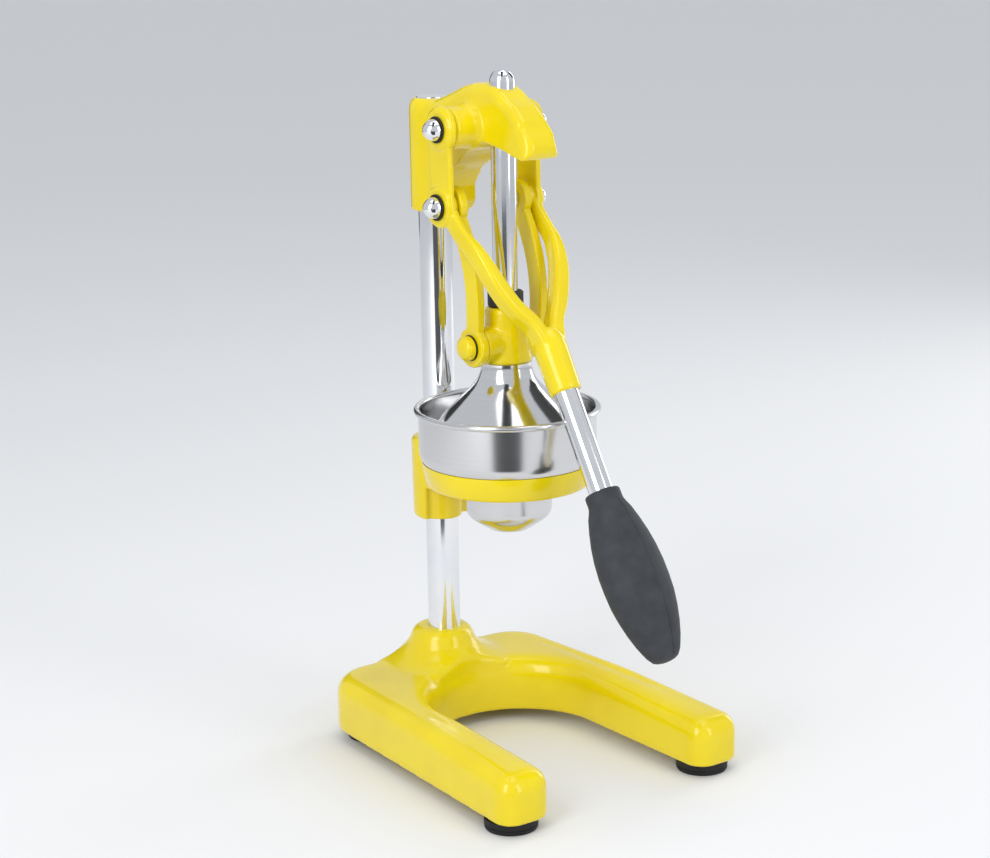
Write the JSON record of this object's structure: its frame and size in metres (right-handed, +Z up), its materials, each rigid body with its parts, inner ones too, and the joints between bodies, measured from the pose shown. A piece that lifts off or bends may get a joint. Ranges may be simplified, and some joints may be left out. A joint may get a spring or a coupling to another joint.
{
  "type": "lever citrus press",
  "caption": "Upright lever citrus press: arched base, column, hooded head, forked lever with curved links, press bell, steel bowl in a clamped ring.",
  "frame": {"origin": "on the table under the centre of the press's box: midway between the sides, and midway between the back of the base and the foremost point of the grip", "axes": "+Z up along the column, -Y to the front where the legs and the handle point, +X to the right of someone who faces the back; metres, shown closed"},
  "size_m": [0.1896, 0.2678, 0.452],
  "materials": {
    "yellow_enamel": "glossy enamel on cast iron",
    "bright_chrome": "polished plating",
    "stainless": "satin sheet",
    "zinc_steel": "zinc plated",
    "black_steel": "black oxide",
    "bronze": "turned",
    "black_rubber": "moulded",
    "grey_rubber": "moulded, fine matt",
    "black_plastic": "moulded"
  },
  "bodies": {
    "frame": {"base_casting": "yellow_enamel", "rubber_feet": "black_rubber", "foot_screws": "zinc_steel", "column": "bright_chrome", "column_bolt": "zinc_steel", "column_washer": "zinc_steel", "cup_holder": "yellow_enamel", "holder_set_screws": "black_steel", "juice_bowl": "stainless", "strainer_cone": "stainless", "head_casting": "yellow_enamel", "head_set_screws": "black_steel", "rod_guide_bush": "bronze", "fork_pivot_bolts": "bright_chrome", "fork_pivot_washers": "black_plastic"},
    "fork": {"lever_fork": "yellow_enamel", "fork_bushes": "bronze", "link_pins": "bright_chrome", "link_pin_washers": "black_plastic", "handle_tube": "bright_chrome", "handle_pin": "zinc_steel", "grip": "grey_rubber"},
    "left_link": {"link_left": "yellow_enamel", "trunnion_pin_left": "zinc_steel", "trunnion_ring_left": "black_plastic", "trunnion_cap_left": "yellow_enamel"},
    "right_link": {"link_right": "yellow_enamel", "trunnion_pin_right": "zinc_steel", "trunnion_ring_right": "black_plastic", "trunnion_cap_right": "yellow_enamel"},
    "ram": {"crosshead": "yellow_enamel", "plunger_rod": "bright_chrome", "stop_collar": "grey_rubber", "press_bell": "stainless", "bell_screw": "stainless", "bell_washer": "stainless"}
  },
  "joints": [
    {"name": "lever_pivot", "type": "hinge", "parent": "frame", "child": "fork", "pos_m": [0, 0.04837, 0.415], "axis": [-1, 0, 0], "range_deg": [0, 120]},
    {"name": "ram_slide", "type": "slide", "parent": "frame", "child": "ram", "axis": [0, 0, 1], "range_m": [0, 0.0734]},
    {"name": "left_link_pivot", "type": "hinge", "parent": "fork", "child": "left_link", "pos_m": [0, 0.04986, 0.366], "axis": [-1, 0, 0], "range_deg": [-148.6, 0]},
    {"name": "right_link_pivot", "type": "hinge", "parent": "fork", "child": "right_link", "pos_m": [0, 0.04986, 0.366], "axis": [-1, 0, 0], "range_deg": [-148.6, 0]}
  ],
  "couplings": [
    {"joint": "ram_slide", "follows": "lever_pivot", "m_per_rad": 0.035041},
    {"joint": "left_link_pivot", "follows": "lever_pivot", "ratio": -1.2377},
    {"joint": "right_link_pivot", "follows": "lever_pivot", "ratio": -1.2377}
  ]
}
